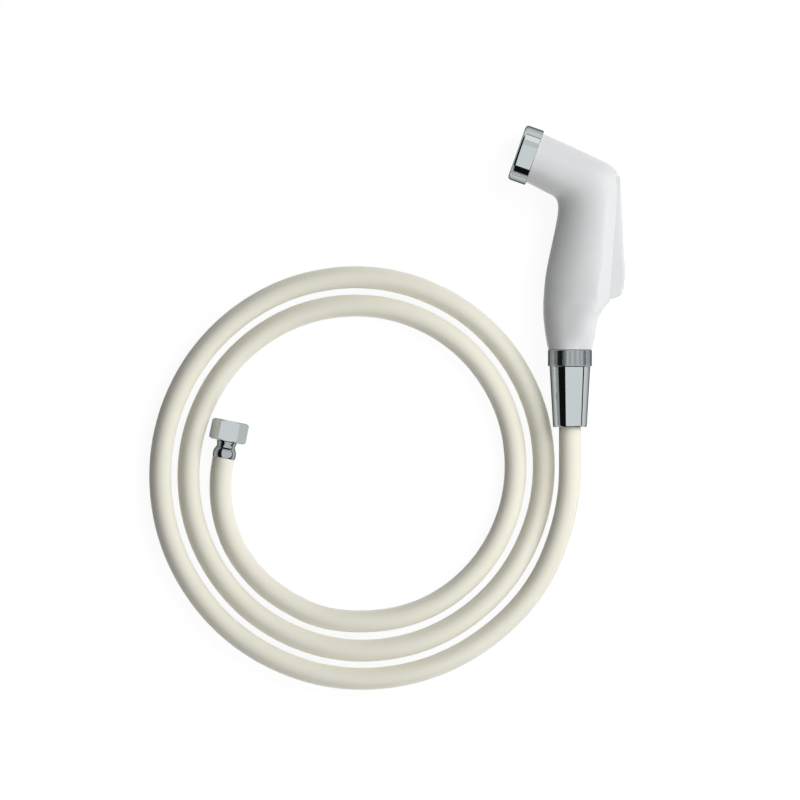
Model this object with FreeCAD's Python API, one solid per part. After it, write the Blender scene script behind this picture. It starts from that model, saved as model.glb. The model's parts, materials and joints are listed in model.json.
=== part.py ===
import FreeCAD, Part
import math
import os

# Handheld bidet shower, lying on its side: a white handset with a thumb lever on its back,
# a smooth hose laid down in a flat coil, and the nut that joins the hose to the wall valve.
# Millimetres. The hose leaves the handset along -Y, the spray head is at +Y, the lever faces +X,
# and the object lies on the plane Z = 0.

V = FreeCAD.Vector
X_AXIS = V(1, 0, 0)
Y_AXIS = V(0, 1, 0)
Z_AXIS = V(0, 0, 1)
ORIGIN = V(0, 0, 0)

# Fits
THREAD_GAP = 0.1
SLIP_GAP = 0.05
SQUEEZE_GAP = 0.02
LEVER_GAP = 0.3
SWIVEL_GAP = 0.3
COIL_STEP = math.radians(30)

# Hose
HOSE_OD = 15.0
HOSE_ID = 9.4
HOSE_CRIMPED_OD = 13.8
EXIT_RUN = 49.6
COIL_CENTRE = V(-143.4, -29.9, 0)
COIL_RADIUS = 145.5
COIL_PITCH = 19.2
COIL_OVAL = 0.8
COIL_OVAL_AT = math.radians(100)
COIL_START = math.radians(37.8)
COIL_POINTS = 27
CURVE_INSIDE = 0.9665
# Run length and right turn at its far end, for the stretch that leaves the coil
END_STRETCH = ((52.7, 21.0), (29.2, 20.0), (27.5, 18.0), (24.5, 17.6), (21.9, 0.0))
END_RISE = (0.0, 0.0, 0.3, 1.0, 1.0)

# Half-inch pipe thread, drawn as plain cylinders
PIPE_THREAD_OD = 20.6
PIPE_THREAD_ID = 18.6

# Conical nut and collar under the grip
CONE_LENGTH = 41.0
CONE_MOUTH_OD = 23.1
CONE_TOP_OD = 27.6
CONE_BORE = 18.0
CONE_SHOULDER = 24.0
CONE_EDGE = 0.8
COLLAR_OD = 29.9
COLLAR_HEIGHT = 11.4
COLLAR_WEB = 2.0
COLLAR_EDGE = 0.7

# Inlet spigot
SPIGOT_FLANGE_OD = 24.0
SPIGOT_FLANGE = 2.5
FLANGE_GAP = 0.5
SPIGOT_STEM_OD = 19.0
SPIGOT_STEM = 12.0
SPIGOT_BORE = 11.0
SPIGOT_SOCKET = 6.0
SPIGOT_EDGE = 1.0

# Hose tails, washers and crimped ferrules
TAIL_FLANGE = 2.0
TAIL_BORE = 6.6
TAIL_LENGTH = 22.0
BARB_COUNT = 4
BARB_DEPTH = 0.4
WASHER = 2.0
WASHER_ID = 10.0
WASHER_PLAY = 0.3
FERRULE_WALL = 1.1
FERRULE_WEB = 1.4
FERRULE_LENGTH = 20.0
FERRULE_EDGE = 0.4

# Wall end
WALL_FERRULE_GRIP = 8.4
WALL_NECK_TOP = 11.0
WALL_WAIST_OD = 12.6
WALL_BULGE_OD = 15.9
WALL_CRIMP = 5.2
# Outside of the crimped ferrule, (along, radius) points from the hose to the nut
WALL_FERRULE = (
    (0, 7.45), (1.2, 7.85), (3.0, WALL_BULGE_OD / 2), (5.0, 7.65), (6.4, 6.95),
    (7.4, WALL_WAIST_OD / 2), (9.0, WALL_WAIST_OD / 2), (WALL_NECK_TOP, 6.7),
)
WALL_FERRULE_WALL = 0.9
NUT_START = 11.6
NUT_AF = 22.0
NUT_HEIGHT = 14.2
NUT_LIP = 2.5
NUT_CHAMBER = 4.0
NUT_CHAMBER_OD = 19.2
NUT_LIP_BORE = 14.2
NUT_CHAMFER = 1.17
NUT_FACE_OD = 21.6

# Handset shell. Each row is an oval across it: front x, front y, back x, back y, half its
# thickness, squareness of its back shoulders. The grip's rows are counted up from its foot
FOOT_OD = 29.6
GRIP_ROWS = (
    (-16.2, 6.8, 16.2, 6.8, 15.4, 0.01),
    (-17.3, 15.0, 16.9, 15.0, 15.9, 0.03),
    (-18.0, 21.8, 18.2, 21.8, 16.1, 0.06),
    (-18.1, 27.6, 21.4, 27.6, 16.2, 0.08),
    (-18.1, 32.4, 26.0, 32.4, 16.3, 0.10),
    (-17.7, 37.4, 29.0, 37.4, 16.4, 0.11),
    (-17.3, 44.0, 29.9, 44.0, 16.4, 0.11),
    (-15.8, 55.0, 30.6, 55.0, 16.4, 0.11),
    (-13.1, 68.0, 31.5, 68.0, 16.5, 0.11),
    (-10.2, 81.6, 32.5, 81.6, 16.6, 0.11),
)
# The rows of the bend, counted from the middle of the head
BEND_ROWS = (
    (15.8, -37.2, 57.4, -34.7, 16.9, 0.11),
    (15.7, -30.8, 57.9, -22.6, 17.2, 0.10),
    (13.8, -26.9, 57.6, -13.2, 17.4, 0.08),
    (10.8, -24.9, 53.0, -5.9, 17.5, 0.05),
    (7.0, -23.0, 41.0, 0.4, 17.5, 0.03),
    (3.0, -20.9, 25.5, 7.6, 17.5, 0.02),
    (-1.0, -18.8, 14.5, 12.7, 17.5, 0.01),
)
SHELL_WALL = 2.4
SECTION_POLES = 16

# Spray head, on an axis that leans back from the hose's line
HEAD_X = -24.0
HEAD_Y = 130.2
HEAD_LEAN = 19.5
HEAD_OD = 35.0
NECK_STEP = 2.1
NECK_WALL = 2.8
NECK_LENGTH = 8.9
MOUTH_FLOOR = -4.0
RING_WALL = 4.0
RING_LIP = 1.5
RING_LIP_REACH = 0.6
RING_EDGE = 2.0
RING_BACK_EDGE = 0.4
RING_LIP_EDGE = 0.6
SEAL_THICKNESS = 1.0
FACE_THICKNESS = 1.4
FACE_BOSS = 1.0
FACE_EDGE = 0.5
JET_BORE = 1.1
JET_CIRCLES = (0.0, 3.6, 7.0, 10.3)
JET_COUNTS = (1, 6, 12, 18)

# Lever seat on the back: its foot, its lean, and sizes along it
SEAT_X = 27.0
SEAT_Y = 34.0
SEAT_LEAN = 4.0
SEAT_DEPTH = 9.0
SEAT_FLOOR = 2.0
SEAT_WALL = 2.0
SEAT_END_GAP = 0.4
LEVER_LENGTH = 84.0
LEVER_WIDTH = 20.0
LEVER_WALL = 2.0
LEVER_SKIRT = 2.0
LEVER_TIP = 1.3
LEVER_HEEL = 9.4
LEVER_HEEL_BAND = 1.6
# The lever's side outline from its tip to its foot and the hollow inside, (out, along) points
LEVER_BACK = ((LEVER_TIP, LEVER_LENGTH), (LEVER_HEEL, 17.0), (9.2, 8.0), (7.9, 3.6), (1.1, 0.2))
LEVER_RIM = ((-LEVER_SKIRT, 0.2), (-LEVER_SKIRT, LEVER_LENGTH))
LEVER_HOLLOW = ((7.4, 17.0), (7.2, 9.0), (5.2, 5.6), (1.1, 2.2), (-3.0, 2.2))
LEVER_EDGE = 2.2
RIB_OD = 6.4
PIVOT_TO_TIP = 8.0
PIVOT_DEPTH = 4.8
EAR_RADIUS = 3.6
PIN_OD = 2.5
PIN_REACH = 13.0
PIN_HIDDEN_REACH = 14.0
PIN_DRILL = 30.0

# Valve under the lever, on an axis square to the seat. Depths are counted from the slot's floor
VALVE_AT = 28.0
VALVE_BODY_OD = 19.6
VALVE_BODY_WALL = 2.5
VALVE_BODY_CHAMFER = 4.0
CHAMBER_BORE = 14.2
CHAMBER_DEPTH = 25.0
GLAND_OD = 14.0
GLAND_HEAD_OD = 15.2
GLAND_HEAD = 2.5
GLAND_EDGE = 0.6
GLAND_PLAY = 0.2
PACKING_DEPTH = 3.6
GROOVE_DEPTH = 5.2
CAGE_DEPTH = 7.6
GLAND_CAGE_WALL = 1.8
GLAND_WINDOW = 3.0
WINDOW_DEPTH = 9.5
GLAND_DEPTH = 11.4
VALVE_SEAT = 2.6
VALVE_SEAT_BORE = 8.0
STEM_OD = 4.0
STEM_TIP = 2.0
STEM_DOME = 1.0
STEM_TAIL = 2.0
POPPET_OD = 10.4
POPPET_THICKNESS = 1.6
POPPET_SEAL = 1.6
PUSHER_GAP = 0.3
O_RING = 1.8
SPRING_OD = 8.4
SPRING_WIRE = 0.9
SPRING_TURNS = 4.0
SPRING_STEP_COUNT = 12
SPRING_SIDE_COUNT = 8

# Waterway
INLET_PIPE_OD = 13.6
INLET_PIPE_BORE = 8.0
OUTLET_X = 10.0
OUTLET_PIPE_OD = 13.0
OUTLET_REACH = 10.2
OUTLET_PORT = 6.0
RISER_OD = 8.8
RISER_BORE = 6.2
RISER_SOCKET = 6.0
RISER_BEND = 13.0
RISER_BOSS = 9.0
RISER_SLOT = 14.0
PORT_SEAT = -5.6

FOOT_Y = CONE_LENGTH + SWIVEL_GAP + COLLAR_HEIGHT
SPIGOT_END = CONE_SHOULDER + TAIL_FLANGE + WASHER
NECK_OD = HEAD_OD - 2 * NECK_STEP
MOUTH_BORE = NECK_OD - 2 * NECK_WALL
RING_OD = NECK_OD + 2 * (THREAD_GAP + RING_WALL)
RING_LIP_BORE = MOUTH_BORE - 2 * RING_LIP_REACH
RING_LENGTH = NECK_LENGTH + SEAL_THICKNESS + FACE_THICKNESS + RING_LIP
SEAT_LENGTH = LEVER_LENGTH + 2 * SEAT_END_GAP
PIVOT_AT = LEVER_LENGTH - PIVOT_TO_TIP
CHAMBER_END = SEAT_DEPTH + CHAMBER_DEPTH
GLAND_PACKING = SEAT_DEPTH + PACKING_DEPTH
GLAND_GROOVE_AT = SEAT_DEPTH + GROOVE_DEPTH
GLAND_CAGE_AT = SEAT_DEPTH + CAGE_DEPTH
GLAND_WINDOW_AT = SEAT_DEPTH + WINDOW_DEPTH
GLAND_END = SEAT_DEPTH + GLAND_DEPTH
OUTLET_TOP = SEAT_Y + VALVE_AT + VALVE_BODY_OD / 2 + OUTLET_REACH
RISER_FOOT = OUTLET_TOP - RISER_SOCKET
MIDDLE_Z = RING_OD / 2


def outline(points):
    """A flat face with straight sides, from points in the XY plane."""
    corners = [V(x, y, 0) for x, y in points]
    return Part.Face(Part.makePolygon(corners + corners[:1]))


def turned(points, axis=X_AXIS):
    """A turned piece: a half section of (along, radius) points, spun round its axis."""
    flip = axis.isEqual(Y_AXIS, 1e-9)
    half = [(r, a) if flip else (a, r) for a, r in points]
    return outline(half).revolve(ORIGIN, axis, 360)


def ring(start, end, outer, inner, axis=X_AXIS):
    """A plain turned ring between two diameters."""
    return turned([(start, inner / 2), (end, inner / 2), (end, outer / 2), (start, outer / 2)], axis)


def rod(start, end, diameter, axis=X_AXIS):
    """A plain round bar along an axis through the origin."""
    return Part.makeCylinder(diameter / 2, end - start, axis * start, axis)


def slab(points, low, high):
    """An outline pulled straight up between two heights."""
    plate = outline(points).extrude(V(0, 0, high - low))
    plate.translate(V(0, 0, low))
    return plate


def placed(shape, at, angle):
    """A copy of a shape turned in the XY plane and moved to its place."""
    moved = shape.copy()
    moved.rotate(ORIGIN, Z_AXIS, angle)
    moved.translate(at)
    return moved


def on_grip(shape):
    return placed(shape, V(0, FOOT_Y, 0), 0)


def on_head(shape):
    """From the spray head's own axis, +X out of its face, to the grip."""
    return placed(shape, V(HEAD_X, FOOT_Y + HEAD_Y, 0), 180 - HEAD_LEAN)


def on_seat(shape):
    """From the lever seat's own frame, +X square out of it and +Y up along it, to the grip."""
    return placed(shape, V(SEAT_X, FOOT_Y + SEAT_Y, 0), -SEAT_LEAN)


def on_valve(shape):
    """From the valve's own axis, +X out towards the lever, to the grip."""
    return on_seat(placed(shape, V(0, VALVE_AT, 0), 0))


def pole_reach(count):
    """How far out a closed cubic spline's poles stand, for a circle of radius one."""
    return 3 / (2 + math.cos(2 * math.pi / count))


def oval(front, back, half_thickness, shoulder):
    """Poles of a closed oval across the grip, a little square at its back shoulders."""
    middle = (front + back) * 0.5
    half = (back - front) * 0.5
    poles = []
    for i in range(SECTION_POLES):
        turn = 2 * math.pi * i / SECTION_POLES
        swell = 1 + shoulder * math.sin(2 * turn) ** 2 * (1 + math.cos(turn)) / 2
        swell *= pole_reach(SECTION_POLES)
        along = half * (math.cos(turn) * swell)
        poles.append(middle + along + Z_AXIS * (half_thickness * math.sin(turn) * swell))
    return poles


def sharpened(rows):
    """Each inner row pushed out by a sixth of the bend there, so the smooth form runs through it."""
    result = [rows[0]]
    for before, row, after in zip(rows, rows[1:], rows[2:]):
        result.append(tuple(b - (a - 2 * b + c) / 6 for a, b, c in zip(before, row, after)))
    return result + [rows[-1]]


def grip_form(inset, rows):
    """The grip's smooth form, one spline surface over the given ovals, shrunk by a wall."""
    inset_rows = []
    for front_x, front_y, back_x, back_y, half_thickness, shoulder in rows:
        front = V(front_x, front_y, 0)
        back = V(back_x, back_y, 0)
        inward = (back - front).normalize() * inset
        front += inward
        back -= inward
        inset_rows.append((front.x, front.y, back.x, back.y, half_thickness - inset, shoulder))
    poles = [oval(V(r[0], r[1], 0), V(r[2], r[3], 0), *r[4:]) for r in sharpened(inset_rows)]
    return closed_form(poles)


def closed_form(poles):
    """A solid under one spline surface, smooth along and round its rows of poles, with flat ends."""
    spans = len(poles) - 3
    around = len(poles[0])
    surface = Part.BSplineSurface()
    surface.buildFromPolesMultsKnots(
        poles, [4] + [1] * (spans - 1) + [4], [1] * (around + 1),
        list(range(spans + 1)), list(range(around + 1)), False, True, 3, 3,
    )
    side = surface.toShape()
    ends = [Part.Face(Part.Wire(edge)) for edge in side.Edges if edge.isClosed() and not edge.isSeam(side)]
    skin = Part.makeCompound([side] + ends)
    skin.sewShape()
    form = Part.makeSolid(Part.Shell(skin.Faces))
    form.fix(1e-5, 1e-5, 1e-4)
    return form


def foot_row():
    return (-FOOT_OD / 2, 0, FOOT_OD / 2, 0, FOOT_OD / 2, 0)


def head_row():
    """The round section where the head meets its ring."""
    lean = math.radians(HEAD_LEAN)
    across = V(math.sin(lean), math.cos(lean), 0) * (HEAD_OD / 2)
    centre = V(HEAD_X, HEAD_Y, 0)
    front = centre - across
    back = centre + across
    return (front.x, front.y, back.x, back.y, HEAD_OD / 2, 0)


def seat_block(side, wall, floor):
    """The lever's slot as a block, grown by a wall and a floor."""
    half = LEVER_WIDTH / 2 + side
    low = SEAT_END_GAP + wall
    points = [
        (-SEAT_DEPTH - floor, -low),
        (SEAT_DEPTH * 2, -low),
        (SEAT_DEPTH * 2, SEAT_LENGTH + wall),
        (-SEAT_DEPTH - floor, SEAT_LENGTH + wall),
    ]
    return slab(points, -half, half)


def inner_rows():
    """The ovals between the foot and the head, all counted up from the foot."""
    bend = [(a + HEAD_X, b + HEAD_Y, c + HEAD_X, d + HEAD_Y, *rest) for a, b, c, d, *rest in BEND_ROWS]
    return list(GRIP_ROWS) + bend


def make_handset_body():
    """The moulded shell: grip, angled head, threaded neck, lever slot and bosses."""
    outer = grip_form(0, [foot_row()] + inner_rows() + [head_row()])
    hollow = grip_form(SHELL_WALL, inner_rows())
    shell = on_grip(outer.cut(hollow))
    tub = on_seat(seat_block(LEVER_GAP + SEAT_WALL, SEAT_WALL, SEAT_FLOOR)).common(on_grip(outer))
    neck = on_head(rod(0, NECK_LENGTH, NECK_OD))
    shell = shell.fuse([tub, neck])
    riser_boss = on_head(rod(MOUTH_FLOOR - RISER_BOSS, MOUTH_FLOOR, RISER_OD + 2 * SHELL_WALL))
    shell = shell.fuse(riser_boss.common(on_grip(outer)))
    shell = shell.cut(on_seat(seat_block(LEVER_GAP, 0, 0)))
    shell = shell.cut(on_head(rod(MOUTH_FLOOR, NECK_LENGTH + 1, MOUTH_BORE)))
    shell = shell.cut(on_head(rod(PORT_SEAT - RISER_SLOT, PORT_SEAT, RISER_OD + 2 * SLIP_GAP)))
    shell = shell.cut(on_head(rod(PORT_SEAT - 1, MOUTH_FLOOR + 1, RISER_BORE)))
    shell = shell.cut(on_grip(rod(-1, SPIGOT_STEM, SPIGOT_STEM_OD + 2 * THREAD_GAP, Y_AXIS)))
    gland_bore = GLAND_OD + 2 * GLAND_PLAY
    shell = shell.cut(on_valve(rod(-SEAT_DEPTH - SEAT_FLOOR - 1, -SEAT_DEPTH + 1, gland_bore)))
    drilled_from = V(-PIVOT_DEPTH, PIVOT_AT, -PIN_DRILL)
    pin_hole = Part.makeCylinder(PIN_OD / 2, PIN_DRILL + PIN_REACH, drilled_from, Z_AXIS)
    return shell.cut(on_seat(pin_hole))


def make_lever():
    """The thumb lever: a wedge-shaped cap with skirts, two ears and a rib over the valve."""
    half = LEVER_WIDTH / 2
    wall = LEVER_WALL
    cap = slab(LEVER_BACK + LEVER_RIM, -half, half)
    crown = [e for e in cap.Edges if edge_on_lever_crown(e)]
    cap = cap.makeFillet(LEVER_EDGE, crown)
    tip = LEVER_LENGTH - wall
    hollow = ((-LEVER_SKIRT - 1, tip), (LEVER_TIP - wall, tip)) + LEVER_HOLLOW
    lever = cap.cut(slab(hollow, -half + wall, half - wall))
    for side in (-1, 1):
        middle = side * (half - wall / 2)
        ear = Part.makeCylinder(EAR_RADIUS, wall, V(-PIVOT_DEPTH, PIVOT_AT, middle - wall / 2))
        web = [
            (-PIVOT_DEPTH, PIVOT_AT - EAR_RADIUS),
            (-LEVER_SKIRT / 2, PIVOT_AT - EAR_RADIUS * 1.6),
            (-LEVER_SKIRT / 2, PIVOT_AT + EAR_RADIUS * 1.4),
            (-PIVOT_DEPTH, PIVOT_AT + EAR_RADIUS),
        ]
        lever = lever.fuse([ear, slab(web, middle - wall / 2, middle + wall / 2)])
    rib = Part.makeCylinder(RIB_OD / 2, LEVER_HEEL, V(PUSHER_GAP - STEM_TIP, VALVE_AT, 0), X_AXIS)
    lever = lever.fuse(rib.common(cap))
    bore = Part.makeCylinder(PIN_OD / 2 + SLIP_GAP, 2 * LEVER_WIDTH, V(-PIVOT_DEPTH, PIVOT_AT, -LEVER_WIDTH))
    return lever.cut(bore).removeSplitter()


def edge_on_lever_crown(edge):
    """The long outer edges of the lever's cap, and those round its heel."""
    half = LEVER_WIDTH / 2
    box = edge.BoundBox
    on_side = abs(abs(box.Center.z) - half) < 0.01 and box.ZLength < 0.01
    if on_side:
        return box.XMin > LEVER_TIP - 0.01
    across = box.ZLength > LEVER_WIDTH - 0.01
    return across and box.XMin > LEVER_HEEL - LEVER_HEEL_BAND


def make_lever_pin():
    start = V(-PIVOT_DEPTH, PIVOT_AT, -PIN_HIDDEN_REACH)
    return Part.makeCylinder(PIN_OD / 2, PIN_HIDDEN_REACH + PIN_REACH, start)


def make_valve_body():
    """The inner moulding: a valve barrel with an inlet pipe below and an outlet pipe above."""
    end = -CHAMBER_END - VALVE_BODY_WALL
    top = -SEAT_DEPTH - SEAT_FLOOR
    r = VALVE_BODY_OD / 2
    chamfer = VALVE_BODY_CHAMFER
    barrel = on_valve(turned([(end, 0), (end, r - chamfer), (end + chamfer, r), (top, r), (top, 0)]))
    axis_y = FOOT_Y + SEAT_Y + VALVE_AT
    inlet_foot = FOOT_Y + SPIGOT_STEM - SPIGOT_SOCKET
    inlet = rod(inlet_foot, axis_y, INLET_PIPE_OD, Y_AXIS)
    outlet = placed(rod(axis_y, FOOT_Y + OUTLET_TOP, OUTLET_PIPE_OD, Y_AXIS), V(OUTLET_X, 0, 0), 0)
    solid = barrel.fuse([inlet, outlet])
    chamber = on_valve(rod(-CHAMBER_END, top + 1, CHAMBER_BORE))
    inlet_bore = rod(inlet_foot - 1, axis_y, INLET_PIPE_BORE, Y_AXIS)
    port = rod(axis_y, axis_y + OUTLET_TOP, OUTLET_PORT, Y_AXIS)
    socket = rod(FOOT_Y + RISER_FOOT, FOOT_Y + OUTLET_TOP + 1, RISER_OD + 2 * SLIP_GAP, Y_AXIS)
    outlet_bores = placed(port.fuse(socket), V(OUTLET_X, 0, 0), 0)
    return solid.cut([chamber, inlet_bore, outlet_bores]).removeSplitter()


def make_riser_tube():
    """The bent tube that carries water from the valve up to the head."""
    lean = math.radians(HEAD_LEAN)
    out = V(-math.cos(lean), math.sin(lean), 0)
    along = (OUTLET_X - HEAD_X) / math.cos(lean)
    corner = V(HEAD_X, FOOT_Y + HEAD_Y, 0) - out * along
    foot = V(OUTLET_X, FOOT_Y + RISER_FOOT, 0)
    top = V(HEAD_X, FOOT_Y + HEAD_Y, 0) + out * PORT_SEAT
    path = bent_path([foot, corner, top], [RISER_BEND])
    return hollow_tube(path, foot, Y_AXIS, RISER_OD, RISER_BORE)


def make_valve_gland():
    """The brass gland: a round head on the slot's floor, a packing bore, and windows for the flow."""
    floor = -SEAT_DEPTH
    groove = gland_ring_bore() / 2
    bore = STEM_OD / 2 + SLIP_GAP
    packing = STEM_OD / 2 + O_RING + SQUEEZE_GAP
    points = [
        (floor + GLAND_HEAD, bore),
        (floor + GLAND_HEAD, GLAND_HEAD_OD / 2 - GLAND_EDGE),
        (floor + GLAND_HEAD - GLAND_EDGE, GLAND_HEAD_OD / 2),
        (floor, GLAND_HEAD_OD / 2),
        (floor, GLAND_OD / 2),
        (-GLAND_GROOVE_AT, GLAND_OD / 2),
        (-GLAND_GROOVE_AT, groove),
        (-GLAND_GROOVE_AT - O_RING, groove),
        (-GLAND_GROOVE_AT - O_RING, GLAND_OD / 2),
        (-GLAND_END, GLAND_OD / 2),
        (-GLAND_END, GLAND_OD / 2 - GLAND_CAGE_WALL),
        (-GLAND_CAGE_AT, GLAND_OD / 2 - GLAND_CAGE_WALL),
        (-GLAND_CAGE_AT, bore),
        (-GLAND_PACKING, bore),
        (-GLAND_PACKING, packing),
        (O_RING - GLAND_PACKING, packing),
        (O_RING - GLAND_PACKING, bore),
    ]
    gland = turned(points)
    window = Part.makeCylinder(GLAND_WINDOW / 2, 2 * GLAND_OD, V(-GLAND_WINDOW_AT, 0, -GLAND_OD), Z_AXIS)
    for turn in (0, 90):
        across = window.copy()
        across.rotate(ORIGIN, X_AXIS, turn)
        gland = gland.cut(across)
    return gland


def gland_ring_bore():
    """The groove diameter at which the gland's ring just fills the space to the chamber wall."""
    return CHAMBER_BORE - 2 * O_RING - 2 * SQUEEZE_GAP


def o_ring(bore, at):
    """A rubber ring of round section on a shaft of the given diameter."""
    middle = bore / 2 + O_RING / 2 + SQUEEZE_GAP / 2
    return Part.makeTorus(middle, O_RING / 2, V(at, 0, 0), X_AXIS)


def make_valve_stem():
    """The brass stem: a domed tip under the lever's rib, and a poppet that the spring closes."""
    r = STEM_OD / 2
    front = -GLAND_END - VALVE_SEAT - POPPET_SEAL
    back = front - POPPET_THICKNESS
    points = [
        (-STEM_TIP, 0),
        (-STEM_TIP - STEM_DOME * 0.3, r * 0.6),
        (-STEM_TIP - STEM_DOME, r),
        (front, r),
        (front, POPPET_OD / 2),
        (back, POPPET_OD / 2),
        (back, r),
        (back - STEM_TAIL, r),
        (back - STEM_TAIL, 0),
    ]
    return turned(points)


def make_valve_spring():
    """The closing spring, from the poppet to the end of the chamber, wound with closed ends."""
    start = -CHAMBER_END + SPRING_WIRE / 2 + SLIP_GAP
    poppet_back = GLAND_END + VALVE_SEAT + POPPET_SEAL + POPPET_THICKNESS
    end = -poppet_back - SPRING_WIRE / 2 - SLIP_GAP
    coil_radius = (SPRING_OD - SPRING_WIRE) / 2 * pole_reach(SPRING_STEP_COUNT)
    wire_radius = SPRING_WIRE / 2 * pole_reach(SPRING_SIDE_COUNT)
    rows = []
    for i in range(round(SPRING_TURNS * SPRING_STEP_COUNT) + 1):
        turn = 2 * math.pi * i / SPRING_STEP_COUNT
        along = start + (end - start) * turn / (2 * math.pi * SPRING_TURNS)
        outward = V(0, math.cos(turn), math.sin(turn))
        row = []
        for k in range(SPRING_SIDE_COUNT):
            side = 2 * math.pi * k / SPRING_SIDE_COUNT
            section = outward * math.cos(side) + X_AXIS * math.sin(side)
            row.append(X_AXIS * along + outward * coil_radius + section * wire_radius)
        rows.append(row)
    return closed_form(rows)


def make_inlet_spigot():
    """The brass inlet: half-inch thread below, clamping flange, stem in the body's foot."""
    low = SPIGOT_END
    flange_top = FOOT_Y - COLLAR_WEB
    top = FOOT_Y + SPIGOT_STEM
    r = PIPE_THREAD_OD / 2
    points = [
        (low, SPIGOT_BORE / 2),
        (low, r - SPIGOT_EDGE),
        (low + SPIGOT_EDGE, r),
        (flange_top - SPIGOT_FLANGE, r),
        (flange_top - SPIGOT_FLANGE, SPIGOT_FLANGE_OD / 2),
        (flange_top, SPIGOT_FLANGE_OD / 2),
        (flange_top, SPIGOT_STEM_OD / 2),
        (top, SPIGOT_STEM_OD / 2),
        (top, INLET_PIPE_OD / 2 + SLIP_GAP),
        (top - SPIGOT_SOCKET, INLET_PIPE_OD / 2 + SLIP_GAP),
        (top - SPIGOT_SOCKET, SPIGOT_BORE / 2),
    ]
    return turned(points, Y_AXIS)


def make_inlet_collar():
    """The chrome cup between grip and conical nut, clamped by the spigot's flange."""
    low = CONE_LENGTH + SWIVEL_GAP
    web = FOOT_Y - COLLAR_WEB
    skirt = SPIGOT_FLANGE_OD / 2 + FLANGE_GAP
    edge = COLLAR_EDGE
    points = [
        (low, skirt),
        (low, COLLAR_OD / 2 - edge),
        (low + edge, COLLAR_OD / 2),
        (FOOT_Y - edge, COLLAR_OD / 2),
        (FOOT_Y, COLLAR_OD / 2 - edge),
        (FOOT_Y, SPIGOT_STEM_OD / 2 + SLIP_GAP),
        (web, SPIGOT_STEM_OD / 2 + SLIP_GAP),
        (web, skirt),
    ]
    return turned(points, Y_AXIS)


def make_conical_nut():
    """The long tapered nut over the hose end, threaded inside its wide end."""
    wide = CONE_TOP_OD / 2
    mouth = CONE_MOUTH_OD / 2
    thread = PIPE_THREAD_OD / 2 + THREAD_GAP
    edge = CONE_EDGE
    points = [
        (0, CONE_BORE / 2 + edge / 2),
        (edge / 2, CONE_BORE / 2),
        (CONE_SHOULDER, CONE_BORE / 2),
        (CONE_SHOULDER, thread),
        (CONE_LENGTH, thread),
        (CONE_LENGTH, wide - edge),
        (CONE_LENGTH - edge, wide),
        (edge, mouth),
        (0, mouth - edge / 2),
    ]
    return turned(points, Y_AXIS)


def barbs(start, end):
    """Saw-tooth (along, radius) points of a hose tail, from its tip to its root."""
    grip = HOSE_ID / 2 - SLIP_GAP
    pitch = (end - start) / BARB_COUNT
    points = []
    for i in range(BARB_COUNT):
        points.append((start + i * pitch, grip - BARB_DEPTH))
        points.append((start + (i + 0.9) * pitch, grip))
    return points


def make_handset_tail():
    """The brass hose tail whose flange the conical nut pulls up against the washer."""
    flange = PIPE_THREAD_OD / 2 - WASHER_PLAY
    low = CONE_SHOULDER
    points = [(low - TAIL_LENGTH, TAIL_BORE / 2)] + barbs(low - TAIL_LENGTH, low)
    points += [(low, HOSE_ID / 2 - SLIP_GAP), (low, flange), (low + TAIL_FLANGE, flange)]
    points += [(low + TAIL_FLANGE, TAIL_BORE / 2)]
    return turned(points, Y_AXIS)


def make_handset_ferrule():
    """The crimped sleeve round the hose inside the conical nut."""
    top = CONE_SHOULDER
    inner = HOSE_OD / 2 + SLIP_GAP
    outer = inner + FERRULE_WALL
    points = [
        (top - FERRULE_LENGTH, inner),
        (top - FERRULE_LENGTH, outer - FERRULE_EDGE),
        (top - FERRULE_LENGTH + FERRULE_EDGE, outer),
        (top, outer),
        (top, HOSE_ID / 2),
        (top - FERRULE_WEB, HOSE_ID / 2),
        (top - FERRULE_WEB, inner),
    ]
    return turned(points, Y_AXIS)


def make_wall_tail():
    """The hose tail at the wall end, with the flange that the hex nut holds."""
    neck = WALL_WAIST_OD / 2
    seat = NUT_START + NUT_LIP
    flange = NUT_CHAMBER_OD / 2 - SWIVEL_GAP
    points = [(WALL_NECK_TOP - TAIL_LENGTH, TAIL_BORE / 2)]
    points += barbs(WALL_NECK_TOP - TAIL_LENGTH, WALL_FERRULE_GRIP)
    points += [
        (WALL_NECK_TOP, HOSE_ID / 2 - SLIP_GAP),
        (WALL_NECK_TOP, neck),
        (seat, neck),
        (seat, flange),
        (seat + TAIL_FLANGE, flange),
        (seat + TAIL_FLANGE, TAIL_BORE / 2),
    ]
    return turned(points)


def make_wall_ferrule():
    """The chrome crimp: a rolled bulge over the hose end, then a waist and a flared neck."""
    squeezed = HOSE_CRIMPED_OD / 2 + SLIP_GAP
    thin = WALL_WAIST_OD / 2 - WALL_FERRULE_WALL
    inner = (
        (WALL_NECK_TOP, HOSE_ID / 2),
        (WALL_FERRULE_GRIP, HOSE_ID / 2),
        (WALL_FERRULE_GRIP, thin),
        (WALL_CRIMP + 1.4, thin),
        (WALL_CRIMP, squeezed),
        (0, squeezed),
    )
    return turned(WALL_FERRULE + inner)


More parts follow.
